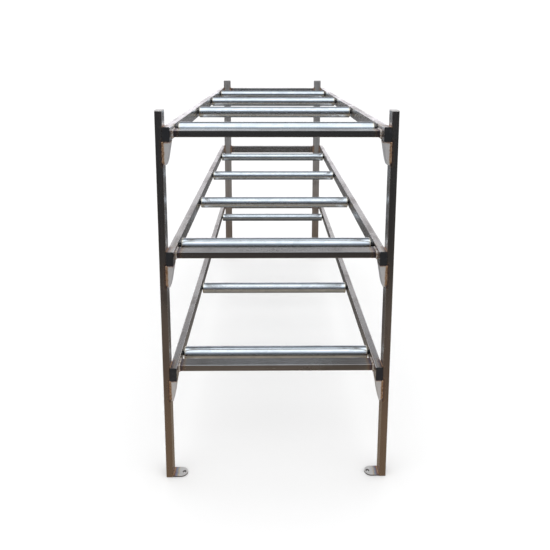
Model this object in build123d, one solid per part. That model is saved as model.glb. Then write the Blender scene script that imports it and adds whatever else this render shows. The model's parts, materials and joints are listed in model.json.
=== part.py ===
from build123d import *
from math import cos, pi, sin
import os

# Three-tier gravity roller rack, welded from rectangular steel tube, with rollers that turn freely.
# Millimetres, +Z up, +X to the right. The loading end, with the post pair outside the rails, faces -Y.
# The origin is on the floor, at the centre of the rack.

# ---- overall sizes ----
RACK_LENGTH = 2400.0          # rails, from front end to rear end
RACK_HEIGHT = 1380.0          # floor to the top of the post caps
RAIL_SPACING = 725.0          # clear width between the two rails of a tier
TIER_NAMES = ("upper", "middle", "lower")
TOP_RAIL_DROP = 56.0          # top of the posts down to the top of the upper rails
TIER_PITCH = 440.0            # rail top to rail top of the next tier

# ---- rectangular tube ----
TUBE_BROAD = 50.0
TUBE_NARROW = 25.0
TUBE_WALL = 2.0
TUBE_CORNER = 3.0             # outside corner radius

# ---- crossbars ----
FRONT_CROSSBAR_SETBACK = TUBE_BROAD  # its front face is in line with the back of the front posts
FRONT_CROSSBAR_DROP = 17.0           # rail top to crossbar top

# ---- post caps and floor tabs ----
CAP_THICKNESS = 3.0
TAB_THICKNESS = 5.0
TAB_LENGTH = 52.0             # post face to the rounded tip
TAB_WIDTH = 47.0
TAB_HOLE_RADIUS = 4.0
TAB_HOLE_TO_TIP = 12.5
TAB_COUNTERSINK_RADIUS = 7.5
COUNTERSINK_ANGLE = 90.0

# ---- support brackets under the front end of the rails ----
BRACKET_SHEET = 3.0
BRACKET_HEIGHT = 80.0
BRACKET_FOOT = 11.0           # width left at the lower end
BRACKET_CORNER_CUT = 14.0     # chamfer on the lower rear corner
BRACKET_NOTCH = 4.0           # bend relief at the top of the fold

# ---- rail end plugs ----
PLUG_FLANGE = 4.0
PLUG_EDGE = 1.0               # softened edge of the flange
PLUG_DEPTH = 18.0
PLUG_CLEARANCE = 0.2          # to the tube's inside, each side

# ---- rollers ----
ROLLERS_PER_TIER = 4
FIRST_ROLLER = 154.0          # front end of the rails to the first roller's axis
LAST_ROLLER = 356.0           # last roller's axis to the rear end of the rails
ROLLER_RADIUS = 25.5
ROLLER_WALL = 1.5
ROLLER_SIDE_GAP = 7.5         # roller end to rail, each side
CRIMP_RADIUS = 4.0            # outside radius where the tube end is rolled in
CRIMP_LIP = 1.6               # flat ring beyond that radius

# ---- axles and bearings ----
AXLE_ACROSS_FLATS = 11.0
AXLE_HOLE_CLEARANCE = 0.15    # between flat and hole, each side
AXLE_REACH = 8.0              # axle end beyond the rail's inner wall
AXLE_CHAMFER = 1.0
HUB_WALL = 2.05               # left outside the corners of the hexagon
BALL_RADIUS = 2.4
BALLS_PER_BEARING = 9
BALL_SEAT_CLEARANCE = 0.05    # ball to outer groove
BALL_HUB_CLEARANCE = 0.35     # ball to hub groove
BEARING_WIDTH = 9.0
BALL_STANDOFF = 2.2           # hub to ball centres
RING_LAND = 1.8               # ball centres to the outer ring's inner wall
RING_THICKNESS = 2.6
HUB_SHOULDER_GAP = 0.5        # hub end to rail
HOUSING_RECESS = 2.0          # crimped lip to the housing's end face
HOUSING_SHIELD = 1.5          # thickness of the shield over the balls
HOUSING_CHAMFER = 3.0         # clears the inside of the crimp
SHIELD_GAP = 0.5              # shield to hub

# ---- springs that hold the axles out ----
SPRING_STANDOFF = 0.8         # coil centre line beyond the hub's radius
SPRING_WIRE_RADIUS = 0.7
SPRING_LENGTH = 40.0
SPRING_TURNS = 7
SPRING_END_GAP = 0.3
WASHER_MARGIN = 1.3           # washer edge beyond the coil centre line
WASHER_THICKNESS = 1.5

# ---- places worked out from the sizes above ----
RAIL_CENTRE = RAIL_SPACING / 2 + TUBE_NARROW / 2
FRONT_POST_CENTRE = RAIL_SPACING / 2 + 1.5 * TUBE_NARROW
REAR_POST_CENTRE = RAIL_SPACING / 2 - TUBE_BROAD / 2
FRONT_END = -RACK_LENGTH / 2
REAR_END = RACK_LENGTH / 2
POST_TUBE_HEIGHT = RACK_HEIGHT - CAP_THICKNESS
ROLLER_PITCH = (RACK_LENGTH - FIRST_ROLLER - LAST_ROLLER) / (ROLLERS_PER_TIER - 1)
HUB_RADIUS = AXLE_ACROSS_FLATS / 3 ** 0.5 + HUB_WALL
BEARING_PITCH_RADIUS = HUB_RADIUS + BALL_STANDOFF
RING_RADIUS = BEARING_PITCH_RADIUS + RING_LAND + RING_THICKNESS
CRIMP_LIP_RADIUS = ROLLER_RADIUS - CRIMP_RADIUS - CRIMP_LIP
SPRING_RADIUS = HUB_RADIUS + SPRING_STANDOFF
WASHER_RADIUS = SPRING_RADIUS + WASHER_MARGIN
ROLLER_HALF_LENGTH = RAIL_SPACING / 2 - ROLLER_SIDE_GAP
HOUSING_FACE = ROLLER_HALF_LENGTH - ROLLER_WALL - HOUSING_RECESS
BEARING_OUTER_END = HOUSING_FACE - HOUSING_SHIELD
BEARING_CENTRE = BEARING_OUTER_END - BEARING_WIDTH / 2
HUB_INNER_END = BEARING_OUTER_END - BEARING_WIDTH - 1.0
SIDES = {"left": -1, "right": 1}


def rail_top(tier):
    """Height of the rails' top face on a tier, counted from the top of the rack."""
    return RACK_HEIGHT - TOP_RAIL_DROP - tier * TIER_PITCH


def axle_height(tier):
    """The axles run through the middle of the rails."""
    return rail_top(tier) - TUBE_BROAD / 2


def axle_rows():
    """Distance of each roller axis along the rack."""
    return [FRONT_END + FIRST_ROLLER + n * ROLLER_PITCH for n in range(ROLLERS_PER_TIER)]


def axle_places():
    """Every roller axis as (y, z)."""
    return [(y, axle_height(tier)) for tier in range(len(TIER_NAMES)) for y in axle_rows()]


def save(name, *solids):
    """Write one node: a single solid, or a group of identical ones."""
    shape = solids[0] if len(solids) == 1 else Compound(children=list(solids))
    export_step(shape, "parts/" + name + ".step")


def along_x(x, y, z):
    """Plane whose normal is +X, with local x along Y and local y along Z."""
    return Plane(origin=(x, y, z), x_dir=(0, 1, 0), z_dir=(1, 0, 0))


def along_y(x, y, z):
    """Plane whose normal is +Y, with local x along X."""
    return Plane(origin=(x, y, z), x_dir=(1, 0, 0), z_dir=(0, 1, 0))


# ---- welded frame ----

def tube_section(size_a, size_b):
    """Rectangular tube section with rounded corners inside and out."""
    outer = RectangleRounded(size_a, size_b, TUBE_CORNER)
    bore = RectangleRounded(size_a - 2 * TUBE_WALL, size_b - 2 * TUBE_WALL, TUBE_CORNER - TUBE_WALL)
    return outer - bore


def front_post(side):
    """Outside the rails, narrow face to the front."""
    y = FRONT_END + TUBE_BROAD / 2
    section = tube_section(TUBE_NARROW, TUBE_BROAD)
    return extrude(Pos(side * FRONT_POST_CENTRE, y, 0) * section, POST_TUBE_HEIGHT)


def rear_post(side):
    """Between the rails, broad face to the front."""
    y = REAR_END - TUBE_NARROW / 2
    section = tube_section(TUBE_BROAD, TUBE_NARROW)
    return extrude(Pos(side * REAR_POST_CENTRE, y, 0) * section, POST_TUBE_HEIGHT)


def post_caps():
    """Thin plates that close the tops of the four posts."""
    caps = []
    for side in SIDES.values():
        front = Pos(side * FRONT_POST_CENTRE, FRONT_END + TUBE_BROAD / 2, POST_TUBE_HEIGHT)
        rear = Pos(side * REAR_POST_CENTRE, REAR_END - TUBE_NARROW / 2, POST_TUBE_HEIGHT)
        caps.append(extrude(front * RectangleRounded(TUBE_NARROW, TUBE_BROAD, TUBE_CORNER), CAP_THICKNESS))
        caps.append(extrude(rear * RectangleRounded(TUBE_BROAD, TUBE_NARROW, TUBE_CORNER), CAP_THICKNESS))
    return caps


def hexagon(clearance=0.0):
    """Axle section, flats apart by the across-flats size plus a clearance each side."""
    return RegularPolygon(AXLE_ACROSS_FLATS / 2 + clearance, 6, major_radius=False)


def rail(side, tier):
    """Side rail with a hexagonal hole in its inner wall for each axle."""
    z = axle_height(tier)
    body = extrude(along_y(side * RAIL_CENTRE, FRONT_END, z) * tube_section(TUBE_NARROW, TUBE_BROAD), RACK_LENGTH)
    inner_wall = side * (RAIL_SPACING / 2 + TUBE_WALL / 2)
    for y in axle_rows():
        cut = extrude(along_x(inner_wall, y, z) * hexagon(AXLE_HOLE_CLEARANCE), TUBE_WALL, both=True)
        body -= cut
    return body


def front_crossbar(tier):
    """Laid flat between the rails, a little below their top."""
    y = FRONT_END + FRONT_CROSSBAR_SETBACK + TUBE_BROAD / 2
    z = rail_top(tier) - FRONT_CROSSBAR_DROP - TUBE_NARROW / 2
    return extrude(along_x(-RAIL_SPACING / 2, y, z) * tube_section(TUBE_BROAD, TUBE_NARROW), RAIL_SPACING)


def rear_crossbar(tier):
    """On edge between the rear posts, level with the rails."""
    span = 2 * REAR_POST_CENTRE - TUBE_BROAD
    y = REAR_END - TUBE_NARROW / 2
    section = tube_section(TUBE_NARROW, TUBE_BROAD)
    return extrude(along_x(-span / 2, y, axle_height(tier)) * section, span)


def foot_tab(side, post_face, y):
    """Floor tab: a plate with a rounded tip and a countersunk hole, pointing to the rack's middle."""
    tip_radius = TAB_WIDTH / 2
    straight = TAB_LENGTH - tip_radius
    plate = Pos(post_face - side * straight / 2, y) * Rectangle(straight, TAB_WIDTH)
    tip = Pos(post_face - side * straight, y) * Circle(tip_radius)
    hole = Pos(post_face - side * (TAB_LENGTH - TAB_HOLE_TO_TIP), y)
    half_tip = tip & (Pos(post_face - side * TAB_LENGTH, y) * Rectangle(2 * tip_radius, TAB_WIDTH))
    tab = extrude(plate + half_tip - hole * Circle(TAB_HOLE_RADIUS), TAB_THICKNESS)
    depth = (TAB_COUNTERSINK_RADIUS - TAB_HOLE_RADIUS) / tan_half(COUNTERSINK_ANGLE)
    cone = Cone(TAB_HOLE_RADIUS, TAB_COUNTERSINK_RADIUS, depth, align=(Align.CENTER, Align.CENTER, Align.MAX))
    return tab - hole * Pos(0, 0, TAB_THICKNESS) * cone


def tan_half(angle):
    """Tangent of half an angle given in degrees."""
    half = angle * pi / 360
    return sin(half) / cos(half)


def foot_tabs():
    """One tab welded to the inner side of each post."""
    tabs = []
    for side in SIDES.values():
        front_face = side * (FRONT_POST_CENTRE - TUBE_NARROW / 2)
        rear_face = side * (REAR_POST_CENTRE - TUBE_BROAD / 2)
        tabs.append(foot_tab(side, front_face, FRONT_END + TUBE_BROAD / 2))
        tabs.append(foot_tab(side, rear_face, REAR_END - TAB_WIDTH / 2))
    return tabs


def bracket(side, tier):
    """Folded wedge under the rail, against the post: a tapered front web and a leaning inner web."""
    top = rail_top(tier) - TUBE_BROAD
    post = side * (FRONT_POST_CENTRE - TUBE_NARROW / 2)
    outline = [
        (post, top),
        (post - side * TUBE_NARROW, top),
        (post - side * BRACKET_FOOT, top - BRACKET_HEIGHT),
        (post, top - BRACKET_HEIGHT),
    ]
    hollow = [(x + side * BRACKET_SHEET, z) for x, z in outline]
    wedge = prism(outline, FRONT_END, TUBE_BROAD)
    inside = prism(hollow, FRONT_END + BRACKET_SHEET, TUBE_BROAD)
    corner = Pos(post, FRONT_END + TUBE_BROAD, top - BRACKET_HEIGHT) * Rot(45, 0, 0)
    cut_size = BRACKET_CORNER_CUT * 2 ** 0.5
    corner_cut = corner * Box(4 * TUBE_NARROW, cut_size, cut_size)
    notch_place = Pos(post - side * TUBE_NARROW, FRONT_END, top)
    notch = notch_place * Box(2 * BRACKET_NOTCH, 2 * BRACKET_NOTCH, BRACKET_NOTCH)
    return wedge - inside - corner_cut - notch


def prism(points, y, length):
    """Solid whose section has (x, z) corners, from y towards the rear."""
    section = make_face(Polyline(*[(x, y, z) for x, z in points], close=True))
    return extrude(section, length, dir=(0, 1, 0))


def end_plug(side, tier, end):
    """Push-in plug: a flange as large as the tube and a ribbed body inside it."""
    centre = (side * RAIL_CENTRE, end * REAR_END, axle_height(tier))
    outward = Plane(origin=centre, x_dir=(1, 0, 0), z_dir=(0, end, 0))
    flange = extrude(outward * RectangleRounded(TUBE_NARROW, TUBE_BROAD, TUBE_CORNER), PLUG_FLANGE)
    rim = flange.faces().sort_by(Axis.Y)[-1 if end > 0 else 0].edges()
    flange = fillet(rim, PLUG_EDGE)
    slack = 2 * (TUBE_WALL + PLUG_CLEARANCE)
    core_shape = RectangleRounded(TUBE_NARROW - slack, TUBE_BROAD - slack, TUBE_CORNER - TUBE_WALL)
    hollow = offset(core_shape, -TUBE_WALL)
    inward = Plane(origin=centre, x_dir=(1, 0, 0), z_dir=(0, -end, 0))
    return flange + extrude(inward * (core_shape - hollow), PLUG_DEPTH)


# ---- rollers ----

def turned(points, y, z):
    """Solid of revolution about a roller axis, from (x, radius) points."""
    outline = make_face(Polyline(*[(x, r) for x, r in points], close=True))
    return Pos(0, y, z) * revolve(outline, Axis.X)


def mirrored_pair(solid):
    """The solid at the right-hand end of the roller, and its twin at the left-hand end."""
    return [solid, mirror(solid, about=Plane.YZ)]


def roller_tube(y, z):
    """Thin tube whose ends are rolled in over the bearing housings."""
    end = ROLLER_HALF_LENGTH
    bend = end - CRIMP_RADIUS
    shoulder = ROLLER_RADIUS - CRIMP_RADIUS
    lip = CRIMP_LIP_RADIUS
    inner_bend = CRIMP_RADIUS - ROLLER_WALL
    inner_end = end - ROLLER_WALL
    inner_radius = ROLLER_RADIUS - ROLLER_WALL
    diagonal = cos(pi / 4)
    outer_mid = (bend + CRIMP_RADIUS * diagonal, shoulder + CRIMP_RADIUS * diagonal)
    inner_mid = (bend + inner_bend * diagonal, shoulder + inner_bend * diagonal)
    outer = [
        Line((0, ROLLER_RADIUS), (bend, ROLLER_RADIUS)),
        ThreePointArc((bend, ROLLER_RADIUS), outer_mid, (end, shoulder)),
        Line((end, shoulder), (end, lip)),
    ]
    inner = [
        Line((end, lip), (inner_end, lip)),
        Line((inner_end, lip), (inner_end, shoulder)),
        ThreePointArc((inner_end, shoulder), inner_mid, (bend, inner_radius)),
        Line((bend, inner_radius), (0, inner_radius)),
        Line((0, inner_radius), (0, ROLLER_RADIUS)),
    ]
    half = revolve(make_face(outer + inner), Axis.X)
    return Pos(0, y, z) * (half + mirror(half, about=Plane.YZ))


def end_housings(y, z):
    """Moulded cups pressed into the tube ends, each with a shield over the balls."""
    outside = ROLLER_RADIUS - ROLLER_WALL
    inner_end = BEARING_OUTER_END - BEARING_WIDTH
    lip_side = ROLLER_HALF_LENGTH - ROLLER_WALL
    face_radius = (CRIMP_LIP_RADIUS + RING_RADIUS) / 2
    rim_radius = outside - HOUSING_CHAMFER
    points = [
        (inner_end, RING_RADIUS),
        (inner_end, outside),
        (lip_side - HOUSING_CHAMFER, outside),
        (lip_side, rim_radius),
        (lip_side, CRIMP_LIP_RADIUS),
        (HOUSING_FACE, face_radius),
        (HOUSING_FACE, HUB_RADIUS + SHIELD_GAP),
        (BEARING_OUTER_END, HUB_RADIUS + SHIELD_GAP),
        (BEARING_OUTER_END, RING_RADIUS),
    ]
    return mirrored_pair(turned(points, y, z))


def ball_groove(clearance):
    """Ring that the balls and a clearance sweep, about the X axis."""
    ring = Torus(BEARING_PITCH_RADIUS, BALL_RADIUS + clearance)
    return Pos(BEARING_CENTRE, 0, 0) * Rot(0, 90, 0) * ring


def bearings(y, z):
    """Outer ring and balls of the bearing at each end."""
    inner_end = BEARING_OUTER_END - BEARING_WIDTH
    land = BEARING_PITCH_RADIUS + RING_LAND
    outline = [
        (inner_end, land),
        (inner_end, RING_RADIUS),
        (BEARING_OUTER_END, RING_RADIUS),
        (BEARING_OUTER_END, land),
    ]
    pieces = [turned(outline, 0, 0) - ball_groove(BALL_SEAT_CLEARANCE)]
    for n in range(BALLS_PER_BEARING):
        angle = 2 * pi * n / BALLS_PER_BEARING
        across = BEARING_PITCH_RADIUS * cos(angle)
        up = BEARING_PITCH_RADIUS * sin(angle)
        pieces.append(Pos(BEARING_CENTRE, across, up) * Sphere(BALL_RADIUS))
    placed = [Pos(0, y, z) * piece for piece in pieces]
    return [twin for piece in placed for twin in mirrored_pair(piece)]


def bearing_hubs(y, z):
    """Inner race with a hexagonal bore, long enough to keep the roller off the rail."""
    hub_end = RAIL_SPACING / 2 - HUB_SHOULDER_GAP
    outline = [(HUB_INNER_END, 0), (HUB_INNER_END, HUB_RADIUS), (hub_end, HUB_RADIUS), (hub_end, 0)]
    blank = turned(outline, 0, 0) - ball_groove(BALL_HUB_CLEARANCE)
    bore = extrude(along_x(HUB_INNER_END - 1, 0, 0) * hexagon(AXLE_HOLE_CLEARANCE), hub_end)
    return mirrored_pair(Pos(0, y, z) * (blank - bore))


def axle(y, z):
    """Hexagonal rod from rail to rail, its ends inside the rails."""
    half = RAIL_SPACING / 2 + TUBE_WALL + AXLE_REACH
    rod = extrude(along_x(-half, y, z) * hexagon(), 2 * half)
    ends = rod.faces().filter_by(Axis.X).edges()
    return chamfer(ends, AXLE_CHAMFER)


def axle_spring(y, z):
    """Compression spring between the right-hand hub and its washer."""
    end = HUB_INNER_END - SPRING_END_GAP - SPRING_WIRE_RADIUS
    height = SPRING_LENGTH - 2 * (SPRING_END_GAP + SPRING_WIRE_RADIUS)
    path = Helix(height / SPRING_TURNS, height, SPRING_RADIUS)
    wire = Plane(origin=path @ 0, z_dir=path % 0) * Circle(SPRING_WIRE_RADIUS)
    coil = sweep(wire, path=path, is_frenet=True)
    return Pos(end, y, z) * Rot(0, -90, 0) * coil


def spring_washer(y, z):
    """Washer on the axle that the spring pushes against."""
    x = HUB_INNER_END - SPRING_LENGTH - WASHER_THICKNESS
    ring = Circle(WASHER_RADIUS) - hexagon(AXLE_HOLE_CLEARANCE)
    return extrude(along_x(x, y, z) * ring, WASHER_THICKNESS)


# ---- write every node ----

def write_frame():
    for name, side in SIDES.items():
        save("front_post_" + name, front_post(side))
        save("rear_post_" + name, rear_post(side))
    save("post_caps", *post_caps())
    save("foot_tabs", *foot_tabs())
    for tier, tier_name in enumerate(TIER_NAMES):
        for name, side in SIDES.items():
            save(tier_name + "_rail_" + name, rail(side, tier))
        save(tier_name + "_front_crossbar", front_crossbar(tier))
        save(tier_name + "_rear_crossbar", rear_crossbar(tier))
    tiers = range(len(TIER_NAMES))
    save("rail_support_brackets", *[bracket(side, tier) for side in SIDES.values() for tier in tiers])
    plugs = [end_plug(side, tier, end) for side in SIDES.values() for tier in tiers for end in (-1, 1)]
    save("rail_end_plugs", *plugs)


def write_axles():
    save("roller_axles", *[axle(y, z) for y, z in axle_places()])
    save("bearing_hubs", *[hub for y, z in axle_places() for hub in bearing_hubs(y, z)])
    save("axle_springs", *[axle_spring(y, z) for y, z in axle_places()])
    save("spring_washers", *[spring_washer(y, z) for y, z in axle_places()])


def write_rollers():
    for tier, tier_name in enumerate(TIER_NAMES):
        z = axle_height(tier)
        for number, y in enumerate(axle_rows(), start=1):
            name = tier_name + "_roller_" + str(number)
            save(name + "_tube", roller_tube(y, z))
            save(name + "_end_housings", *end_housings(y, z))
            save(name + "_bearings", *bearings(y, z))


os.makedirs("parts", exist_ok=True)
write_frame()
write_axles()
write_rollers()
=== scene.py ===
import json
import math

import bmesh
import bpy
import numpy as np
from bpy.props import FloatProperty, FloatVectorProperty, IntProperty, PointerProperty
from mathutils import Matrix, Vector

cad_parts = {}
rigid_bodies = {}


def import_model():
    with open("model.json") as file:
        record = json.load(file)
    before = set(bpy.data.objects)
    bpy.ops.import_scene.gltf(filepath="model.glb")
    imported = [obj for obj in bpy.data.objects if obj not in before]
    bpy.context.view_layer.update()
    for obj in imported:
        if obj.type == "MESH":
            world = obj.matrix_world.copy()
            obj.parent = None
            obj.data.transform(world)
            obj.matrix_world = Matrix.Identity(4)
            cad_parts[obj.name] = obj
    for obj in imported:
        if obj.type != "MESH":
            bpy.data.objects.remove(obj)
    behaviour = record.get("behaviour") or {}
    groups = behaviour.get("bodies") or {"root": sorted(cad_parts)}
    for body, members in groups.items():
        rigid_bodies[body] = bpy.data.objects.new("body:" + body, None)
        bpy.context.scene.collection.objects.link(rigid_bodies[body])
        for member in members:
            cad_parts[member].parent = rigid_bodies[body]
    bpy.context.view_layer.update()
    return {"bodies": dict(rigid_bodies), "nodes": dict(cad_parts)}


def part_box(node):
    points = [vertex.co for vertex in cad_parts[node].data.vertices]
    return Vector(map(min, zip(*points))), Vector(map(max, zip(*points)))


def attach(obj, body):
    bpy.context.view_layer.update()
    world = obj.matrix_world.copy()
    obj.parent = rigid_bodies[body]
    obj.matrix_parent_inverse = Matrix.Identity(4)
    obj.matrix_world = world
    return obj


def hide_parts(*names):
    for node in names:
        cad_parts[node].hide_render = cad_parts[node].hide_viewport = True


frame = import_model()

bl_info = {
    "name": "Gravity Roller Rack Finish",
    "version": (1, 0, 0),
    "blender": (4, 5, 0),
    "location": "View3D > Sidebar > Roller Rack",
    "description": "Plated rollers, weld seams and metal finishes for a tiered gravity roller rack",
    "category": "Object",
}

TIERS = ("upper", "middle", "lower")
SIDES = (-1, 1)
ACROSS, LENGTHWISE, UPRIGHT = range(3)


# ---------------------------------------------------------------- places read from the frame

def low(node):
    """Lowest corner of a node as an array."""
    return np.array(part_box(node)[0])


def high(node):
    """Highest corner of a node as an array."""
    return np.array(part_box(node)[1])


class Rack:
    """Edges of the welded frame, in metres, measured on the right and mirrored for the left."""

    rail_inner = low("upper_rail_right")[0]
    rail_outer = high("upper_rail_right")[0]
    front = low("front_post_right")[1]
    front_post_back = high("front_post_right")[1]
    rear_post_front = low("rear_post_right")[1]
    rear = high("rear_post_right")[1]
    rear_post_inner = low("rear_post_right")[0]
    crossbar_front = low("upper_front_crossbar")[1]
    crossbar_back = high("upper_front_crossbar")[1]
    tab_top = high("foot_tabs")[2]
    rail_tops = [high(tier + "_rail_right")[2] for tier in TIERS]
    rail_bottoms = [low(tier + "_rail_right")[2] for tier in TIERS]
    tier_pitch = rail_tops[0] - rail_tops[1]
    rail_height = rail_tops[0] - rail_bottoms[0]
    bracket_drop = rail_bottoms[2] - low("rail_support_brackets")[2]
    tube_corner = 0.003


def roller_names():
    """The rollers' bodies, tier by tier."""
    return [body for body in frame["bodies"] if "_roller_" in body]


def roller_axis(body):
    """Centre of a roller."""
    return (low(body + "_tube") + high(body + "_tube")) / 2


# ---------------------------------------------------------------- sizes and colours a user may change

class RollerShapeSettings(bpy.types.PropertyGroup):
    """Shape of the plated roller tubes."""

    wall: FloatProperty(name="Wall", description="Thickness of the tube", default=0.0015, unit="LENGTH")
    crimp: FloatProperty(
        name="Crimp radius", description="Outside radius where the end is rolled in",
        default=0.004, unit="LENGTH",
    )
    lip: FloatProperty(
        name="Lip", description="Flat ring inside the rolled edge", default=0.0016, unit="LENGTH"
    )
    segments: IntProperty(name="Segments", description="Steps round the tube", default=96, min=24)


class WeldSettings(bpy.types.PropertyGroup):
    """Shape of the weld seams."""

    radius: FloatProperty(
        name="Bead radius", description="Half the width of a seam", default=0.0040, unit="LENGTH"
    )
    fine_radius: FloatProperty(
        name="Fine bead radius", description="Half the width of the seams along thin sheet",
        default=0.0022, unit="LENGTH",
    )
    ripple: FloatProperty(
        name="Ripple pitch", description="Distance between ripples", default=0.0026, unit="LENGTH"
    )
    ripple_depth: FloatProperty(
        name="Ripple depth", description="Share of the radius", default=0.13, min=0, max=0.5
    )


class FinishSettings(bpy.types.PropertyGroup):
    """Colours of the metals and the plastic."""

    steel: FloatVectorProperty(
        name="Steel", description="Mill-finish tube", subtype="COLOR", size=4,
        default=(0.60, 0.59, 0.585, 1),
    )
    steel_dark: FloatVectorProperty(
        name="Steel, dull", description="Dull and handled areas of the tube", subtype="COLOR", size=4,
        default=(0.36, 0.335, 0.32, 1),
    )
    zinc: FloatVectorProperty(
        name="Zinc", description="Plated rollers", subtype="COLOR", size=4,
        default=(0.80, 0.855, 0.90, 1),
    )
    zinc_dark: FloatVectorProperty(
        name="Zinc, dull", description="Darker crystals of the plating", subtype="COLOR", size=4,
        default=(0.68, 0.74, 0.78, 1),
    )
    plastic: FloatVectorProperty(
        name="Plastic", description="End plugs and housings", subtype="COLOR", size=4,
        default=(0.012, 0.013, 0.016, 1),
    )
    plate: FloatVectorProperty(
        name="Plate", description="Floor tabs and post caps", subtype="COLOR", size=4,
        default=(0.80, 0.79, 0.78, 1),
    )


class StageSettings(bpy.types.PropertyGroup):
    """Camera and studio."""

    camera_place: FloatVectorProperty(
        name="Camera", description="Place of the camera", subtype="TRANSLATION", size=3,
        default=(-0.0298, -3.0996, 1.5592),
    )
    yaw: FloatProperty(
        name="Yaw", description="Turn to the right", default=math.radians(0.685), subtype="ANGLE"
    )
    pitch: FloatProperty(
        name="Pitch", description="Downward tilt", default=math.radians(9.766), subtype="ANGLE"
    )
    roll: FloatProperty(
        name="Roll", description="Tilt to the side", default=math.radians(0.109), subtype="ANGLE"
    )
    lens: FloatProperty(name="Lens", description="Focal length in millimetres", default=37.155)
    shift: FloatProperty(name="Shift", description="Vertical shift of the frame", default=-0.22)
    floor: FloatVectorProperty(
        name="Floor", description="Floor colour", subtype="COLOR", size=4,
        default=(0.94, 0.94, 0.94, 1),
    )
    key_power: FloatProperty(
        name="Overhead light", description="Power of the soft box overhead", default=22.0
    )


GROUPS = {
    "rack_roller_shape": RollerShapeSettings,
    "rack_weld": WeldSettings,
    "rack_finish": FinishSettings,
    "rack_stage": StageSettings,
}


# ---------------------------------------------------------------- meshes from arrays

MERGE_GAP = 1e-6
SLIVER_EDGE = 1e-7


def put_mesh(name, points, faces, smooth=True):
    """New object at the origin from an array of points and an array of four-cornered faces."""
    mesh = bpy.data.meshes.new(name)
    mesh.vertices.add(len(points))
    mesh.vertices.foreach_set("co", np.asarray(points, np.float32).ravel())
    mesh.loops.add(faces.size)
    mesh.loops.foreach_set("vertex_index", faces.astype(np.int32).ravel())
    mesh.polygons.add(len(faces))
    mesh.polygons.foreach_set("loop_start", np.arange(0, faces.size, 4, dtype=np.int32))
    mesh.polygons.foreach_set("use_smooth", np.full(len(faces), smooth))
    mesh.update(calc_edges=True)
    mesh.validate()
    piece = bpy.data.objects.new(name, mesh)
    bpy.context.scene.collection.objects.link(piece)
    return piece


def clean(piece):
    """Merges doubled points and turns every face outwards."""
    mesh = bmesh.new()
    mesh.from_mesh(piece.data)
    bmesh.ops.remove_doubles(mesh, verts=mesh.verts, dist=MERGE_GAP)
    bmesh.ops.dissolve_degenerate(mesh, edges=mesh.edges, dist=SLIVER_EDGE)
    bmesh.ops.recalc_face_normals(mesh, faces=mesh.faces)
    mesh.to_mesh(piece.data)
    mesh.free()
    return piece


def grid_faces(rows, columns, close_rows, close_columns):
    """Four-cornered faces of a grid of points numbered row by row, each way closed if asked."""
    r = np.arange(rows if close_rows else rows - 1)
    c = np.arange(columns if close_columns else columns - 1)
    r, c = np.meshgrid(r, c, indexing="ij")
    r_next, c_next = (r + 1) % rows, (c + 1) % columns
    corners = (r * columns + c, r * columns + c_next, r_next * columns + c_next, r_next * columns + c)
    return np.stack(corners, axis=-1).reshape(-1, 4)


def joined(parts):
    """One array of points and one of faces from several (points, faces) pairs."""
    points, faces, start = [], [], 0
    for part_points, part_faces in parts:
        points.append(part_points)
        faces.append(part_faces + start)
        start += len(part_points)
    return np.concatenate(points), np.concatenate(faces)


def arc(centre, radius, start, end, steps):
    """Points (a, b) on an arc: centre plus radius times cosine and sine of an even run of angles."""
    angles = np.linspace(math.radians(start), math.radians(end), steps)
    return np.column_stack([centre[0] + radius * np.cos(angles), centre[1] + radius * np.sin(angles)])


def turned(profile, centre, segments):
    """Profile of (x, radius) points carried round the X axis through centre.

    A point at x and radius r goes to (x, r times cosine, r times sine) at an even run of angles.
    """
    angles = np.linspace(0, 2 * np.pi, segments, endpoint=False)
    x = np.repeat(profile[:, 0:1], segments, axis=1)
    y = profile[:, 1:2] * np.cos(angles)
    z = profile[:, 1:2] * np.sin(angles)
    points = np.stack([x, y, z], axis=-1).reshape(-1, 3) + centre
    return points, grid_faces(len(profile), segments, True, True)


def rounded_loop(half_a, half_b, radius, steps=6):
    """Closed outline of a rectangle with round corners: four quarter arcs in turn."""
    corners = ((1, 1, 0), (-1, 1, 90), (-1, -1, 180), (1, -1, 270))
    runs = [
        arc((sign_a * (half_a - radius), sign_b * (half_b - radius)), radius, start, start + 90, steps)
        for sign_a, sign_b, start in corners
    ]
    return np.concatenate(runs)


LEAST_POINTS = 6
RINGS_PER_RIPPLE = 4
RIPPLE_POWER = 0.6
# How nearly the end rings of an open seam close: 1 would shut them.
END_CLOSING = 0.995
# A direction that no seam or coil runs along.
BEAD_GUIDE = np.array([0.37, 0.61, 0.70])
# Hand-run width of a seam: share of the radius, radians a metre, and how far the seed shifts it.
WIDTH_WAVES = ((0.10, 310, 7), (0.06, 773, 3))


def resample(path, spacing, closed):
    """Points an even distance apart: each coordinate interpolated against the length so far."""
    if closed:
        path = np.vstack([path, path[:1]])
    steps = np.linalg.norm(np.diff(path, axis=0), axis=1)
    along = np.concatenate([[0], np.cumsum(steps)])
    count = max(LEAST_POINTS, int(round(along[-1] / spacing)))
    wanted = np.linspace(0, along[-1], count, endpoint=not closed)
    return np.column_stack([np.interp(wanted, along, path[:, k]) for k in range(3)]), wanted


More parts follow.
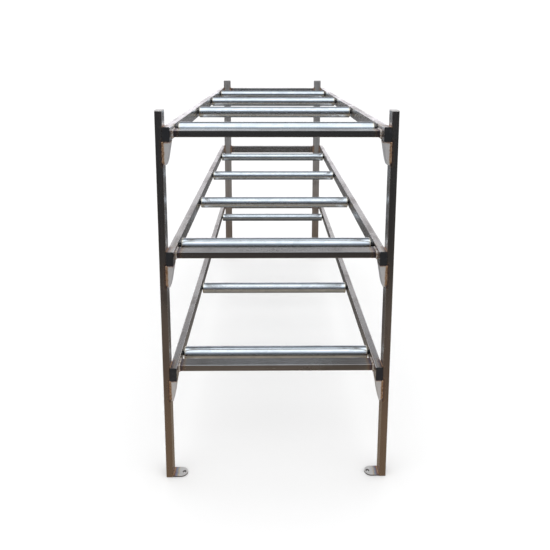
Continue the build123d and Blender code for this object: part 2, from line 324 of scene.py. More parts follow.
def bead(path, radius, ripple, depth, closed=False, sides=10, seed=0.0):
    """Weld seam along a path.

    Each ring is a circle across the path. Its radius is the bead radius times one plus a rounded
    hump for each ripple, plus two slow sine waves, which make the hand-run width. At the ends of an
    open seam it falls off as the square root of one minus the squared distance past the last radius.
    """
    points, along = resample(np.asarray(path, float), ripple / RINGS_PER_RIPPLE, closed)
    ahead = np.roll(points, -1, axis=0) - np.roll(points, 1, axis=0)
    if not closed:
        ahead[0], ahead[-1] = points[1] - points[0], points[-1] - points[-2]
    ahead /= np.linalg.norm(ahead, axis=1)[:, None]
    across = np.cross(ahead, BEAD_GUIDE)
    across /= np.linalg.norm(across, axis=1)[:, None]
    up = np.cross(ahead, across)
    phase = (along / ripple + seed) % 1.0
    size = 1 + depth * np.sin(np.pi * phase) ** RIPPLE_POWER
    size += sum(share * np.sin(along * pace + seed * shift) for share, pace, shift in WIDTH_WAVES)
    if not closed:
        to_end = np.minimum(along, along[-1] - along)
        past = np.clip(1 - to_end / radius, 0, END_CLOSING)
        size *= np.sqrt(1 - past ** 2)
    angles = np.linspace(0, 2 * np.pi, sides, endpoint=False)[None, :, None]
    ring = across[:, None, :] * np.cos(angles) + up[:, None, :] * np.sin(angles)
    surface = points[:, None, :] + ring * (radius * size)[:, None, None]
    faces = grid_faces(len(points), sides, closed, True)
    flat = surface.reshape(-1, 3)
    if closed:
        return flat, faces
    ends = np.vstack([points[0], points[-1]])
    first, last = len(flat), len(flat) + 1
    around = np.arange(sides)
    onward = (around + 1) % sides
    tail = (len(points) - 1) * sides
    start_cap = np.column_stack([np.full(sides, first), onward, around, around])
    end_cap = np.column_stack([np.full(sides, last), tail + around, tail + onward, tail + onward])
    return np.vstack([flat, ends]), np.vstack([faces, start_cap, end_cap])


# ---------------------------------------------------------------- nodes

class Wire:
    """An output socket that takes part in arithmetic: each operator adds its Math node."""

    def __init__(self, graph, socket):
        self.graph = graph
        self.socket = socket

    def math(self, operation, *others):
        """Any other Math operation on this wire."""
        values = dict(enumerate((self, *others)))
        return self.graph.node("ShaderNodeMath", {"operation": operation}, values)

    def __add__(self, other):
        return self.math("ADD", other)

    __radd__ = __add__

    def __sub__(self, other):
        return self.math("SUBTRACT", other)

    def __rsub__(self, other):
        return self.graph.node("ShaderNodeMath", {"operation": "SUBTRACT"}, {0: other, 1: self})

    def __mul__(self, other):
        return self.math("MULTIPLY", other)

    __rmul__ = __mul__

    def __truediv__(self, other):
        return self.math("DIVIDE", other)


class Graph:
    """An emptied node tree, filled node by node."""

    def __init__(self, tree):
        self.tree = tree
        self.tree.nodes.clear()

    def plug(self, socket, value):
        """Links a wire to a socket, or sets the socket to a number, vector or colour."""
        if isinstance(value, Wire):
            self.tree.links.new(value.socket, socket)
        else:
            socket.default_value = value

    def node(self, kind, settings=None, sockets=None, output=0):
        """Adds a node: its settings, then its sockets' values or wires. Gives the chosen output."""
        made = self.tree.nodes.new(kind)
        for key, value in (settings or {}).items():
            if key == "stops":
                self.set_stops(made.color_ramp, value)
            else:
                setattr(made, key, value)
        for key, value in (sockets or {}).items():
            self.plug(made.inputs[key], value)
        return Wire(self, made.outputs[output])

    @staticmethod
    def set_stops(ramp, stops):
        """Leaves a ramp with just these (position, colour) stops."""
        while len(ramp.elements) > 1:
            ramp.elements.remove(ramp.elements[-1])
        ramp.elements[0].position, ramp.elements[0].color = stops[0]
        for position, colour in stops[1:]:
            ramp.elements.new(position).color = colour

    def mix(self, share, first, second):
        """Colour mix."""
        sockets = {0: share, 6: first, 7: second}
        return self.node("ShaderNodeMix", {"data_type": "RGBA"}, sockets, output=2)

    def ramp(self, value, stops):
        """Colour ramp."""
        return self.node("ShaderNodeValToRGB", {"stops": stops}, {"Fac": value}, output="Color")

    def between(self, value, start, end, to_start=0.0, to_end=1.0):
        """Smooth step from start to end."""
        settings = {"interpolation_type": "SMOOTHSTEP"}
        sockets = {
            "Value": value, "From Min": start, "From Max": end, "To Min": to_start, "To Max": to_end,
        }
        return self.node("ShaderNodeMapRange", settings, sockets)

    def vector(self, operation, *values, output=0):
        """Vector Math."""
        settings, sockets = {"operation": operation}, dict(enumerate(values))
        return self.node("ShaderNodeVectorMath", settings, sockets, output)

    def axes(self, vector):
        """The three coordinates of a vector."""
        split = self.node("ShaderNodeSeparateXYZ", {}, {0: vector}).socket.node
        return [Wire(self, output) for output in split.outputs]

    def level(self, colour):
        """A grey colour, or the red of any other, as a number."""
        return self.node("ShaderNodeSeparateColor", {}, {0: colour})


# ---------------------------------------------------------------- materials

# Lengths in metres.
TOP_SEAM_INSET = 0.01
WELD_RAGGEDNESS = 0.012
TUBE_HEAT_REACH = {ACROSS: 0.034, LENGTHWISE: 0.024, UPRIGHT: 0.016}
PLATE_HEAT_REACH = 0.026
PLATE_HEAT_FADE = 0.014
PLATE_RAGGEDNESS = 0.014
SHEET_HEAT_REACH = 0.008
SHEET_RAGGEDNESS = 0.008
ROLLER_END_BAND = 0.014

# Painted light and shade on the tube: brightness against the colours set for each kind of piece.
# Crossbars and front uprights are darker as painted shade, and rails are lighter as a painted highlight.
# The uprights that are worn keep the colours set.
TUBE_PAINTED_LIGHT_TONE = {ACROSS: 0.70, LENGTHWISE: 1.2, UPRIGHT: 0.72}
WORN_TONE = 1.0

# Noise stretch along a tube and across it.
FINE_LINES = (1.5, 420.0)
WIDE_LINES = (0.6, 70.0)

GRAIN_LINE = (0.74, 0.73, 0.72, 1)
RUST_SPOT = (0.20, 0.16, 0.14, 1)
# Painted reflection of the brown floor on the uprights.
POST_PAINTED_FLOOR_REFLECTION = (0.40, 0.295, 0.22, 1)
ZINC_SPOT = (0.36, 0.38, 0.40, 1)
ZINC_YELLOW = (0.90, 0.84, 0.68, 1)
PLATE_CLOUD = (0.50, 0.49, 0.49, 1)
# Dark cut edges of the floor tabs, and painted shade on the walls of their holes.
PLATE_EDGE_AND_HOLE_SHADE = (0.10, 0.09, 0.085, 1)
SHEET_PALE = (0.74, 0.73, 0.73, 1)
SHEET_CLOUD = (0.52, 0.51, 0.51, 1)
DUST = (0.07, 0.07, 0.075, 1)
SMUDGE = (0.33, 0.32, 0.31, 1)
BRIGHT_STEEL = (0.62, 0.61, 0.60, 1)
SPRING_WIRE = (0.40, 0.39, 0.38, 1)
BLACK = (0, 0, 0, 1)
GREY = (0.20, 0.20, 0.20, 1)
WHITE = (1, 1, 1, 1)

# Ramps as (position, colour) stops. Heat goes outwards from a seam over its reach, the roller's end
# along its band, and weld metal over uneven noise.
TUBE_HEAT = (
    (0.00, (0.20, 0.16, 0.14, 1)),
    (0.16, (0.24, 0.15, 0.11, 1)),
    (0.32, (0.20, 0.17, 0.24, 1)),
    (0.46, (0.42, 0.24, 0.13, 1)),
    (0.66, (0.62, 0.45, 0.26, 1)),
    (1.00, (0.62, 0.58, 0.53, 1)),
)
PLATE_HEAT = (
    (0.00, (0.20, 0.15, 0.13, 1)),
    (0.22, (0.36, 0.22, 0.19, 1)),
    (0.38, (0.30, 0.30, 0.42, 1)),
    (0.52, (0.38, 0.45, 0.52, 1)),
    (0.68, (0.66, 0.52, 0.36, 1)),
    (0.86, (0.76, 0.70, 0.58, 1)),
    (1.00, (0.78, 0.77, 0.76, 1)),
)
ROLLER_END = ((0.00, BLACK), (0.50, GREY), (0.72, WHITE), (1.00, WHITE))
BRIGHT_WELD = (
    (0.30, (0.24, 0.18, 0.15, 1)),
    (0.40, (0.56, 0.38, 0.26, 1)),
    (0.48, (0.86, 0.80, 0.72, 1)),
    (0.64, (0.84, 0.83, 0.84, 1)),
    (0.78, (0.36, 0.36, 0.46, 1)),
)
BROWN_WELD = (
    (0.30, (0.16, 0.10, 0.07, 1)),
    (0.45, (0.42, 0.24, 0.13, 1)),
    (0.55, (0.60, 0.42, 0.28, 1)),
    (0.66, (0.38, 0.25, 0.18, 1)),
    (0.80, (0.20, 0.18, 0.22, 1)),
)


class Finish(Graph):
    """A material that reads the place on the piece."""

    def __init__(self, name):
        self.material = bpy.data.materials.new(name)
        self.material.use_nodes = True
        super().__init__(self.material.node_tree)
        out = self.tree.nodes.new("ShaderNodeOutputMaterial")
        self.shader = self.tree.nodes.new("ShaderNodeBsdfPrincipled")
        self.tree.links.new(self.shader.outputs[0], out.inputs["Surface"])
        self.place = self.node("ShaderNodeTexCoord", output="Object")

    def surface(self, **sockets):
        """Sets the shader's own sockets, written with underscores for spaces."""
        for name, value in sockets.items():
            self.plug(self.shader.inputs[name.replace("_", " ")], value)
        return self.material

    def noise(self, scale, stretch=(1, 1, 1), detail=3.0, rough=0.5, warp=0.0):
        """Noise from 0 to 1, finer along the axes with a larger stretch."""
        place = self.vector("MULTIPLY", self.place, stretch)
        sockets = {
            "Vector": place, "Scale": scale, "Detail": detail, "Roughness": rough, "Distortion": warp,
        }
        return self.node("ShaderNodeTexNoise", {}, sockets, output="Fac")

    def bump(self, height, strength, distance):
        """Normal tilted by a height field."""
        sockets = {"Strength": strength, "Distance": distance, "Height": height}
        return self.node("ShaderNodeBump", {}, sockets)

    def folded_place(self):
        """Place with left folded onto right, and height measured from the nearest tier's rail top."""
        x, y, z = self.axes(self.place)
        half = Rack.tier_pitch / 2
        over = (z - Rack.rail_tops[-1]).math("WRAP", half, -half)
        return self.node("ShaderNodeCombineXYZ", {}, {0: x.math("ABSOLUTE"), 1: y, 2: over})

    def gap_to_box(self, place, lowest, highest):
        """Distance to a box: length of what the offset from its centre leaves past its half size."""
        centre = tuple((a + b) / 2 for a, b in zip(lowest, highest))
        half = tuple(abs(b - a) / 2 for a, b in zip(lowest, highest))
        offset = self.vector("ABSOLUTE", self.vector("SUBTRACT", place, centre))
        past = self.vector("MAXIMUM", self.vector("SUBTRACT", offset, half), (0, 0, 0))
        return self.vector("LENGTH", past, output="Value")

    def gap_to_welds(self):
        """Distance to the nearest weld of the frame, a little uneven."""
        place = self.folded_place()
        below = -Rack.rail_height
        bar_top = high("lower_front_crossbar")[2] - Rack.rail_tops[-1]
        bar_bottom = low("lower_front_crossbar")[2] - Rack.rail_tops[-1]
        inner, outer = Rack.rail_inner, Rack.rail_outer
        front, post_back = Rack.front, Rack.front_post_back
        rear_front, rear, rear_inner = Rack.rear_post_front, Rack.rear, Rack.rear_post_inner
        seams = (
            ((outer, front, below - Rack.bracket_drop), (outer, front, below)),
            ((outer, front + TOP_SEAM_INSET, 0), (outer, post_back, 0)),
            ((inner, Rack.crossbar_front, bar_bottom), (inner, Rack.crossbar_back, bar_top)),
            ((inner, rear_front, below), (inner, rear, 0)),
            ((rear_inner, rear_front, below), (rear_inner, rear, 0)),
            ((outer, post_back, below), (outer, post_back, 0)),
        )
        nearest = self.gap_to_box(place, *seams[0])
        for seam in seams[1:]:
            nearest = nearest.math("MINIMUM", self.gap_to_box(place, *seam))
        uneven = self.noise(120, detail=2.0)
        return nearest + (uneven - 0.5) * WELD_RAGGEDNESS


def steel_finish(name, along, settings, worn=False):
    """Mill-finish tube: fine lines along its length, dull patches, and heat colours at the welds.

    Crossbars and uprights carry painted shade and rails a painted highlight, as darker and lighter
    copies of one steel. Uprights take a painted brown reflection of the floor towards the bottom.
    Worn tube is rougher and keeps the colours set, paler than the painted shade of the other uprights.
    """
    finish = Finish(name)
    # tone is painted light and shade: the same steel made darker or lighter for each kind of piece.
    tone = WORN_TONE if worn else TUBE_PAINTED_LIGHT_TONE[along]
    reach = TUBE_HEAT_REACH[along]
    light = tuple(tone * c for c in settings.steel[:3]) + (1,)
    dark = tuple(tone * c for c in settings.steel_dark[:3]) + (1,)
    lines = tuple(FINE_LINES[axis != along] for axis in range(3))
    wide_lines = tuple(WIDE_LINES[axis != along] for axis in range(3))
    grain = finish.noise(1.0, lines, detail=2.0)
    bands = finish.noise(1.0, wide_lines, detail=3.0)
    patches = finish.noise(5.0, detail=4.0, rough=0.6, warp=0.4)
    speckle = finish.noise(160.0, detail=3.0, rough=0.65)
    dull = finish.between(patches + (bands - 0.5) * 0.5, 0.42, 0.74)
    colour = finish.mix(dull, light, dark)
    colour = finish.mix((grain - 0.5) * 0.5 + 0.15, colour, GRAIN_LINE)
    spots = finish.between(speckle, 0.66, 0.74)
    colour = finish.mix(spots * 0.3, colour, RUST_SPOT)
    # Painted reflection of the brown floor on the uprights, stronger towards the bottom.
    if along == UPRIGHT:
        height = finish.axes(finish.place)[2] + (patches - 0.5) * 0.5
        colour = finish.mix(finish.between(height, 0.05, 0.95, 0.8, 0.0), colour, POST_PAINTED_FLOOR_REFLECTION)
    gap = finish.gap_to_welds()
    heat = finish.between(gap, 0.0, reach, 1.0, 0.0)
    colour = finish.mix(heat * 0.9, colour, finish.ramp(gap / reach, TUBE_HEAT))
    rough = (0.30 if worn else 0.17) + dull * 0.13 + grain * 0.10 + heat * 0.10
    ridge = grain * 0.6 + bands * 0.4
    return finish.surface(
        Base_Color=colour, Metallic=0.85 if worn else 1.0, Roughness=rough,
        Normal=finish.bump(ridge, 0.25, 0.0004),
    )


def zinc_finish(settings):
    """Bright zinc plate: soft crystals, faint turning marks, dull spots, and yellowed tube ends."""
    finish = Finish("bright zinc plate")
    cells = finish.vector("MULTIPLY", finish.place, (0.6, 1.3, 1.3))
    cells = finish.vector("ADD", cells, finish.noise(60.0, detail=2.0) * 0.01)
    crystals = finish.node(
        "ShaderNodeTexVoronoi", {"feature": "F1"}, {"Vector": cells, "Scale": 60.0}, output="Color"
    )
    tone = finish.level(crystals)
    clouds = finish.noise(22.0, (0.5, 1.5, 1.5), detail=3.0, rough=0.5)
    turning = finish.noise(1.0, (700.0, 12.0, 12.0), detail=2.0)
    spots = finish.between(finish.noise(210.0, detail=3.0, rough=0.7), 0.63, 0.72)
    dull = finish.between(tone * 0.3 + clouds * 0.85, 0.35, 0.85)
    colour = finish.mix(dull, tuple(settings.zinc), tuple(settings.zinc_dark))
    colour = finish.mix(spots * 0.2, colour, ZINC_SPOT)
    out_from_middle = finish.axes(finish.place)[0].math("ABSOLUTE") + (clouds - 0.5) * 0.004
    band_start = high("upper_roller_1_tube")[0] - ROLLER_END_BAND
    yellow = finish.level(finish.ramp((out_from_middle - band_start) / ROLLER_END_BAND, ROLLER_END))
    colour = finish.mix(yellow * 0.8, colour, ZINC_YELLOW)
    rough = 0.12 + dull * 0.06 + turning * 0.03 + spots * 0.04
    height = tone * 0.05 + clouds * 0.9
    return finish.surface(
        Base_Color=colour, Metallic=1.0, Roughness=rough, Normal=finish.bump(height, 0.04, 0.0003)
    )


def plate_finish(settings):
    """Cut plate: satin, pale, with a rainbow of heat colours where a floor tab meets its post.

    Whatever lies below the tabs' top face is painted dark: their edges, and the walls of their holes as
    painted shade.
    """
    finish = Finish("satin cut plate")
    x, _, z = finish.axes(finish.place)
    across = x.math("ABSOLUTE")
    to_front = (across - Rack.rail_outer).math("ABSOLUTE")
    to_rear = (across - Rack.rear_post_inner).math("ABSOLUTE")
    uneven = finish.noise(70.0, detail=3.0)
    gap = to_front.math("MINIMUM", to_rear) + (uneven - 0.5) * PLATE_RAGGEDNESS
    near_floor = finish.between(z, 0.02, 0.05, 1.0, 0.0)
    heat = finish.between(gap, PLATE_HEAT_FADE, PLATE_HEAT_REACH, 1.0, 0.0) * near_floor
    scratches = finish.noise(1.0, (90.0, 600.0, 200.0), detail=3.0)
    clouds = finish.noise(45.0, detail=4.0)
    colour = finish.mix(clouds * 0.5, tuple(settings.plate), PLATE_CLOUD)
    colour = finish.mix(heat, colour, finish.ramp(gap / PLATE_HEAT_REACH, PLATE_HEAT))
    # Painted dark below the tabs' top face: the cut edges, and painted shade in the holes.
    below = finish.between(z, Rack.tab_top - 0.0009, Rack.tab_top - 0.0003, 1.0, 0.0)
    colour = finish.mix(below, colour, PLATE_EDGE_AND_HOLE_SHADE)
    rough = 0.34 + scratches * 0.14 + clouds * 0.08
    return finish.surface(
        Base_Color=colour, Metallic=0.45, Roughness=rough, Normal=finish.bump(scratches, 0.15, 0.0003)
    )


def sheet_finish():
    """Folded sheet: bright and satin, browned along the seams against the post and the rail."""
    finish = Finish("satin folded sheet")
    scratches = finish.noise(1.0, (300.0, 30.0, 90.0), detail=3.0)
    clouds = finish.noise(38.0, detail=4.0, rough=0.6)
    x, _, z = finish.axes(finish.folded_place())
    to_post = (x - Rack.rail_outer).math("ABSOLUTE")
    to_rail = (z + Rack.rail_height).math("ABSOLUTE")
    uneven = (finish.noise(150.0, detail=3.0) - 0.5) * SHEET_RAGGEDNESS
    gap = to_post.math("MINIMUM", to_rail) + uneven
    colour = finish.mix(clouds * 0.7, SHEET_PALE, SHEET_CLOUD)
    heat = finish.between(gap, 0.002, SHEET_HEAT_REACH, 1.0, 0.0)
    colour = finish.mix(heat, colour, finish.ramp(gap / SHEET_HEAT_REACH, TUBE_HEAT))
    rough = 0.25 + scratches * 0.15 + clouds * 0.12
    return finish.surface(
        Base_Color=colour, Metallic=0.6, Roughness=rough, Normal=finish.bump(scratches, 0.2, 0.0003)
    )


def weld_finish(name, stops):
    """Weld metal: heat colours in uneven bands."""
    finish = Finish(name)
    bands = finish.noise(150.0, detail=3.0, rough=0.6, warp=0.6)
    grit = finish.noise(900.0, detail=2.0)
    return finish.surface(
        Base_Color=finish.ramp(bands, stops), Metallic=0.75, Roughness=0.22 + grit * 0.22,
        Normal=finish.bump(grit, 0.2, 0.0002),
    )


def plastic_finish(settings):
    """Moulded black plastic with a fine grain and a little dust."""
    finish = Finish("moulded black plastic")
    grain = finish.noise(1400.0, detail=2.0)
    dust = finish.noise(60.0, detail=4.0, rough=0.7)
    colour = finish.mix(finish.between(dust, 0.5, 0.8) * 0.35, tuple(settings.plastic), DUST)
    return finish.surface(
        Base_Color=colour, Metallic=0.0, Roughness=0.42 + dust * 0.2,
        Normal=finish.bump(grain, 0.25, 0.0002),
    )


def bright_finish(name, tint):
    """Drawn bright steel with faint lines."""
    finish = Finish(name)
    lines = finish.noise(1.0, (8.0, 700.0, 700.0), detail=2.0)
    smudges = finish.noise(90.0, detail=3.0)
    return finish.surface(
        Base_Color=finish.mix(smudges * 0.6, tint, SMUDGE), Metallic=1.0, Roughness=0.26 + lines * 0.16,
        Normal=finish.bump(lines, 0.2, 0.0002),
    )


def paint(piece, material):
    """Gives a piece one material."""
    piece.data.materials.clear()
    piece.data.materials.append(material)


def repaint(node, material):
    """Puts a better material in every slot of a CAD node."""
    for slot in frame["nodes"][node].material_slots:
        slot.material = material


# ---------------------------------------------------------------- operators

class RACK_OT_rollers(bpy.types.Operator):
    """Build the plated roller tubes with their rolled-in ends"""

    bl_idname = "rack.rollers"
    bl_label = "Rollers"

    STATIONS = 40
    EDGE_ROUND = 0.0005

    def execute(self, context):
        shape = context.scene.rack_roller_shape
        zinc = zinc_finish(context.scene.rack_finish)
        for body in roller_names():
            node = body + "_tube"
            size = high(node) - low(node)
            profile = self.profile(size[0] / 2, size[2] / 2, shape)
            points, faces = turned(profile, roller_axis(body), shape.segments)
            piece = clean(put_mesh(body + "_shell", points, faces))
            paint(piece, zinc)
            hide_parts(node)
            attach(piece, body)
        return {"FINISHED"}

    @classmethod
    def profile(cls, half_length, radius, shape):
        """Closed outline of the tube wall as (x, radius): straight outside, a quarter arc at each
        rolled end, a flat lip with a round edge, and the same offset inwards by the wall."""
        bend = half_length - shape.crimp
        shoulder = radius - shape.crimp
        stations = np.linspace(-bend, bend, cls.STATIONS)[1:-1]
        outside = np.column_stack([stations, np.full(len(stations), radius)])
        inside = np.column_stack([stations[::-1], np.full(len(stations), radius - shape.wall)])
        edge = cls.EDGE_ROUND
        edge_axis = shoulder - shape.lip + edge
        right = np.vstack([
            arc((bend, shoulder), shape.crimp, 90, 0, 10),
            arc((half_length - edge, edge_axis), edge, 0, -90, 4),
            arc((half_length - shape.wall + edge, edge_axis), edge, -90, -180, 4),
            arc((bend, shoulder), shape.crimp - shape.wall, 0, 90, 8),
        ])
        left = right[::-1] * np.array([-1, 1])
        return np.vstack([outside, right, inside, left])


class RACK_OT_welds(bpy.types.Operator):
    """Lay the weld seams between the pieces of the frame"""

    bl_idname = "rack.welds"
    bl_label = "Weld seams"

    # How far the seam over a bracket stays short of the rail's outer and inner faces.
    WEB_SEAM_INSETS = (0.004, 0.006)

    def execute(self, context):
        self.shape = context.scene.rack_weld
        bright = weld_finish("weld, bright", BRIGHT_WELD)
        brown = weld_finish("weld, browned", BROWN_WELD)
        for number, tier in enumerate(TIERS):
            for side in SIDES:
                name = tier + ("_left" if side < 0 else "_right")
                self.seam_piece(name + "_crossbar_welds", self.crossbar_seams(number, side), bright)
                self.seam_piece(name + "_post_welds", self.post_seams(number, side), brown)
                self.seam_piece(name + "_rear_welds", self.rear_seams(number, side), brown)
        self.seam_piece("foot_welds", self.foot_seams(), brown)
        return {"FINISHED"}

    def seam_piece(self, name, beads, metal):
        """One piece of the frame from several beads."""
        points, faces = joined(beads)
        piece = clean(put_mesh(name, points, faces))
        paint(piece, metal)
        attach(piece, "frame")

    def run(self, path, fine=False, closed=False, seed=0.0):
        """Bead of the set shape along a path."""
        shape = self.shape
        radius = shape.fine_radius if fine else shape.radius
        return bead(path, radius, shape.ripple, shape.ripple_depth, closed, seed=seed)

    def crossbar_seams(self, tier, side):
        """Round the end of the front crossbar."""
        bar = TIERS[tier] + "_front_crossbar"
        middle = (low(bar) + high(bar)) / 2
        half = (high(bar) - low(bar)) / 2
        ring = rounded_loop(half[1], half[2], Rack.tube_corner)
        inner = np.full(len(ring), side * Rack.rail_inner)
        around = np.column_stack([inner, middle[1] + ring[:, 0], middle[2] + ring[:, 1]])
        return [self.run(around, closed=True, seed=tier + side * 0.3)]

    def post_seams(self, tier, side):
        """Along the rail's top and back against the front post, and round the bracket."""
        top, bottom = Rack.rail_tops[tier], Rack.rail_bottoms[tier]
        inner, outer = side * Rack.rail_inner, side * Rack.rail_outer
        margin = self.shape.radius
        back = Rack.front_post_back
        face = Rack.front + margin / 2
        foot = bottom - Rack.bracket_drop
        outer_inset, inner_inset = self.WEB_SEAM_INSETS
        web = [(outer - side * outer_inset, face, bottom), (inner + side * inner_inset, face, bottom)]
        return [
            self.run([(outer, Rack.front + margin, top), (outer, back - margin, top)], fine=True),
            self.run([(outer, back, bottom + margin), (outer, back, top - margin)], seed=0.4),
            self.run([(outer, face, foot + margin), (outer, face, bottom)], seed=0.7),
            self.run(web, fine=True, seed=0.2),
        ]

    def rear_seams(self, tier, side):
        """Round the rear crossbar's end, and along the rail against the rear post."""
        top, bottom = Rack.rail_tops[tier], Rack.rail_bottoms[tier]
        post, rail = side * Rack.rear_post_inner, side * Rack.rail_inner
        margin = self.shape.radius
        front, back = Rack.rear_post_front, Rack.rear
        bar_ends = [
            self.run([(post, y, bottom + margin), (post, y, top - margin)], fine=y == back, seed=0.3)
            for y in (front, back)
        ]
        return bar_ends + [
            self.run([(post, front + margin, top), (post, back - margin, top)], seed=0.1),
            self.run([(rail, front, bottom + margin), (rail, front, top - margin)], seed=0.6),
            self.run([(rail, front + margin, top), (rail, back - margin, top)], seed=0.8),
            self.run([(rail, front + margin, bottom), (rail, back - margin, bottom)], seed=0.5),
        ]

    def foot_seams(self):
        """Across each floor tab against its post, a bead above the plate."""
        margin = self.shape.radius
        z = Rack.tab_top
        beads = []
        for side in SIDES:
            ends = (
                (side * Rack.rail_outer, Rack.front, Rack.front_post_back),
                (side * Rack.rear_post_inner, Rack.rear_post_front, Rack.rear),
            )
            for x, front, back in ends:
                beads.append(self.run([(x, front + margin, z), (x, back - margin, z)]))
        return beads


class RACK_OT_springs(bpy.types.Operator):
    """Wind the axle springs inside the right-hand roller ends"""

    bl_idname = "rack.springs"
    bl_label = "Axle springs"

    WIRE_RADIUS = 0.0007
    TURNS = 7
    STEPS_PER_TURN = 24
    WIRE_SIDES = 8
    # Length of wire over which one ripple's rings are laid; the wire itself has no ripples.
    RING_RUN = 0.008

    def execute(self, context):
        """Each spring is a helix: even steps along X, cosine and sine of the angle round its axle."""
        lowest, highest = low("axle_springs"), high("axle_springs")
        start, end = lowest[0] + self.WIRE_RADIUS, highest[0] - self.WIRE_RADIUS
        radius = (highest[2] - roller_axis("upper_roller_1")[2]) - self.WIRE_RADIUS
        t = np.linspace(0, 1, self.TURNS * self.STEPS_PER_TURN)
        angle = 2 * np.pi * self.TURNS * t
        coils = []
        for body in roller_names():
            centre = roller_axis(body)
            path = np.column_stack([
                start + (end - start) * t,
                centre[1] + radius * np.cos(angle),
                centre[2] + radius * np.sin(angle),
            ])
            coils.append(bead(path, self.WIRE_RADIUS, self.RING_RUN, 0.0, sides=self.WIRE_SIDES))
        points, faces = joined(coils)
        piece = clean(put_mesh("axle_spring_coils", points, faces))
        paint(piece, bright_finish("oiled spring wire", SPRING_WIRE))
        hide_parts("axle_springs")
        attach(piece, "frame")
        return {"FINISHED"}


class RACK_OT_metal(bpy.types.Operator):
    """Finish the posts, rails, crossbars, brackets, tabs, plugs and bearings"""

    bl_idname = "rack.metal"
    bl_label = "Metal and plastic"

    def execute(self, context):
        settings = context.scene.rack_finish
        # Darker and lighter copies of one steel: painted shade on crossbars and uprights, a painted
        # highlight on rails.
        across = steel_finish("tube, brushed across, painted shade", ACROSS, settings)
        lengthwise = steel_finish("tube, brushed lengthwise, painted highlight", LENGTHWISE, settings)
        upright = steel_finish("tube, brushed upright, painted light", UPRIGHT, settings)
        worn = steel_finish("tube, brushed upright, painted light, worn", UPRIGHT, settings, worn=True)
        plate = plate_finish(settings)
        plastic = plastic_finish(settings)
        bright = bright_finish("drawn bright steel", BRIGHT_STEEL)
        for node in frame["nodes"]:
            if "_post_" in node:
                repaint(node, worn if "rear" in node else upright)
            elif "_rail_" in node and node != "rail_end_plugs":
                repaint(node, lengthwise)
            elif "crossbar" in node:
                repaint(node, across)
            elif "end_housings" in node or node in ("rail_end_plugs", "bearing_hubs"):
                repaint(node, plastic)
            elif "_bearings" in node or node in ("roller_axles", "spring_washers"):
                repaint(node, bright)
        repaint("rail_support_brackets", sheet_finish())
        repaint("foot_tabs", plate)
        repaint("post_caps", plate)
        return {"FINISHED"}


# Light on the reflection card from CARD_START back over CARD_LENGTH, in metres along Y.
CARD_START, CARD_LENGTH = -9.0, 15.0
FLOOR_REFLECTION = (
    (0.00, (0.012, 0.011, 0.011, 1)),
    (0.27, (0.018, 0.016, 0.014, 1)),
    (0.38, (0.035, 0.027, 0.023, 1)),
    (0.42, (0.150, 0.122, 0.098, 1)),
    (0.445, (0.190, 0.155, 0.124, 1)),
    (0.47, (0.150, 0.116, 0.094, 1)),
    (0.50, (0.300, 0.245, 0.190, 1)),
    (0.55, (0.290, 0.250, 0.200, 1)),
    (0.60, (0.120, 0.110, 0.100, 1)),
    (0.68, (0.08, 0.076, 0.072, 1)),
    (0.87, (0.14, 0.14, 0.14, 1)),
    (1.00, (0.17, 0.17, 0.175, 1)),
)
# Light that reflections find in the room, from the horizon to overhead.
ROOM_IN_FRONT = (
    (0.00, (0.012, 0.011, 0.011, 1)),
    (0.10, (0.05, 0.05, 0.055, 1)),
    (0.20, (0.11, 0.12, 0.14, 1)),
    (0.34, (0.27, 0.29, 0.33, 1)),
    (0.50, (0.52, 0.57, 0.64, 1)),
    (0.66, (0.80, 0.85, 0.92, 1)),
    (0.85, (1.00, 1.04, 1.09, 1)),
    (1.00, (0.85, 0.88, 0.92, 1)),
)
ROOM_BEHIND = (
    (0.00, (0.90, 0.90, 0.95, 1)),
    (0.03, (1.65, 1.60, 1.70, 1)),
    (0.13, (1.55, 1.50, 1.58, 1)),
    (0.20, (0.40, 0.40, 0.42, 1)),
    (0.235, (0.45, 0.44, 0.45, 1)),
    (0.28, (0.85, 0.84, 0.84, 1)),
    (0.37, (0.62, 0.61, 0.62, 1)),
    (0.46, (0.30, 0.30, 0.31, 1)),
    (0.60, (0.08, 0.09, 0.11, 1)),
    (0.80, (0.12, 0.14, 0.17, 1)),
    (0.95, (0.55, 0.58, 0.63, 1)),
    (1.00, (0.85, 0.88, 0.92, 1)),
)
ROOM_TURN = (-0.35, 0.6)
SURROUND_STRENGTH = 1.15


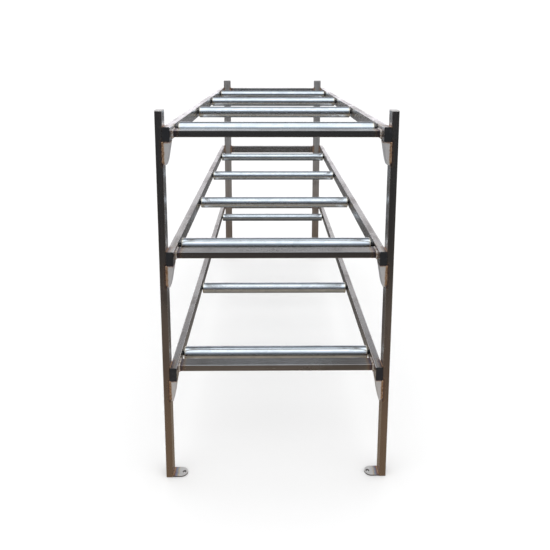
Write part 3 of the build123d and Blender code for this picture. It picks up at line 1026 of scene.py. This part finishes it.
class RACK_OT_stage(bpy.types.Operator):
    """Set the floor, the soft light and the camera"""

    bl_idname = "rack.stage"
    bl_label = "Studio"

    HALF_SIZE = 60.0
    FLOOR_DROP = 0.0005
    CARD_DROP = 0.002
    MATT = 0.9
    SOFT_BOX_PLACE = (0, -2.5, 4.2)
    SOFT_BOX_SIZE = (4.0, 5.0)
    SENSOR_WIDTH = 36.0
    CLIP_END = 200.0

    def execute(self, context):
        settings = context.scene.rack_stage
        self.floor(settings)
        self.world(context.scene)
        self.lights(context.scene, settings)
        self.camera(context.scene, settings)
        context.scene.view_settings.view_transform = "Standard"
        return {"FINISHED"}

    def ground(self, name, drop):
        """Flat square a little under the feet."""
        half, z = self.HALF_SIZE, -drop
        points = np.array([(-half, -half, z), (half, -half, z), (half, half, z), (-half, half, z)])
        piece = put_mesh(name, points, np.array([[0, 1, 2, 3]]), smooth=False)
        return piece

    def floor(self, settings):
        """Pale floor that reflections pass through, and a card that only reflections see: dark in
        front of the rack, warm and lighter under it, grey behind it."""
        pale = self.ground("studio_floor", self.FLOOR_DROP)
        paint(pale, Finish("studio floor").surface(Base_Color=tuple(settings.floor), Roughness=self.MATT))
        pale.visible_glossy = False
        card = self.ground("floor_reflection_card", self.CARD_DROP)
        finish = Finish("reflection card")
        forwards = finish.axes(finish.place)[1]
        light = finish.ramp((forwards - CARD_START) / CARD_LENGTH, FLOOR_REFLECTION)
        finish.surface(Base_Color=BLACK, Roughness=self.MATT, Emission_Color=light, Emission_Strength=1.0)
        paint(card, finish.material)
        card.visible_camera = False
        card.visible_diffuse = False
        card.visible_shadow = False

    @staticmethod
    def world(scene):
        """White to the camera and to the floor. To reflections, a room: in front dark low down and
        bright overhead, behind a bright band low down with darker wall above it."""
        world = bpy.data.worlds.new("studio")
        world.use_nodes = True
        graph = Graph(world.node_tree)
        _, y, z = graph.axes(graph.node("ShaderNodeTexCoord", output="Generated"))
        behind = graph.between(y, *ROOM_TURN)
        room = graph.mix(behind, graph.ramp(z, ROOM_IN_FRONT), graph.ramp(z, ROOM_BEHIND))
        plain = graph.node("ShaderNodeBackground", {}, {"Color": WHITE, "Strength": SURROUND_STRENGTH})
        reflected = graph.node("ShaderNodeBackground", {}, {"Color": room})
        glossy = graph.node("ShaderNodeLightPath", output="Is Glossy Ray")
        seen = graph.node("ShaderNodeMixShader", {}, {0: glossy, 1: plain, 2: reflected})
        graph.plug(graph.tree.nodes.new("ShaderNodeOutputWorld").inputs["Surface"], seen)
        scene.world = world

    def lights(self, scene, settings):
        """One large soft box overhead."""
        data = bpy.data.lights.new("soft box", "AREA")
        data.shape = "RECTANGLE"
        data.size, data.size_y = self.SOFT_BOX_SIZE
        data.energy = settings.key_power
        light = bpy.data.objects.new("soft box", data)
        light.location = self.SOFT_BOX_PLACE
        scene.collection.objects.link(light)

    def camera(self, scene, settings):
        """Camera turned by yaw, tilted down by pitch and rolled."""
        data = bpy.data.cameras.new("camera")
        data.sensor_width = self.SENSOR_WIDTH
        data.lens = settings.lens
        data.shift_y = settings.shift
        data.clip_end = self.CLIP_END
        yaw = Matrix.Rotation(-settings.yaw, 4, "Z")
        pitch = Matrix.Rotation(math.pi / 2 - settings.pitch, 4, "X")
        roll = Matrix.Rotation(settings.roll, 4, "Z")
        camera = bpy.data.objects.new("camera", data)
        camera.matrix_world = Matrix.Translation(Vector(settings.camera_place)) @ yaw @ pitch @ roll
        scene.collection.objects.link(camera)
        scene.camera = camera


class RACK_PT_panel(bpy.types.Panel):
    """Lists the steps, then the settings"""

    bl_label = "Roller Rack"
    bl_idname = "RACK_PT_panel"
    bl_space_type = "VIEW_3D"
    bl_region_type = "UI"
    bl_category = "Roller Rack"

    def draw(self, context):
        for operator in OPERATORS:
            self.layout.operator(operator.bl_idname)
        for group in GROUPS:
            settings = getattr(context.scene, group)
            for name in settings.bl_rna.properties.keys():
                if name not in ("rna_type", "name"):
                    self.layout.prop(settings, name)


OPERATORS = (RACK_OT_rollers, RACK_OT_welds, RACK_OT_springs, RACK_OT_metal, RACK_OT_stage)


def register():
    for name, group in GROUPS.items():
        bpy.utils.register_class(group)
        setattr(bpy.types.Scene, name, PointerProperty(type=group))
    for operator in OPERATORS:
        bpy.utils.register_class(operator)
    bpy.utils.register_class(RACK_PT_panel)


def unregister():
    bpy.utils.unregister_class(RACK_PT_panel)
    for operator in reversed(OPERATORS):
        bpy.utils.unregister_class(operator)
    for name, group in reversed(list(GROUPS.items())):
        delattr(bpy.types.Scene, name)
        bpy.utils.unregister_class(group)


def main():
    register()
    bpy.ops.rack.rollers()
    bpy.ops.rack.welds()
    bpy.ops.rack.springs()
    bpy.ops.rack.metal()
    bpy.ops.rack.stage()


if __name__ == "__main__":
    main()
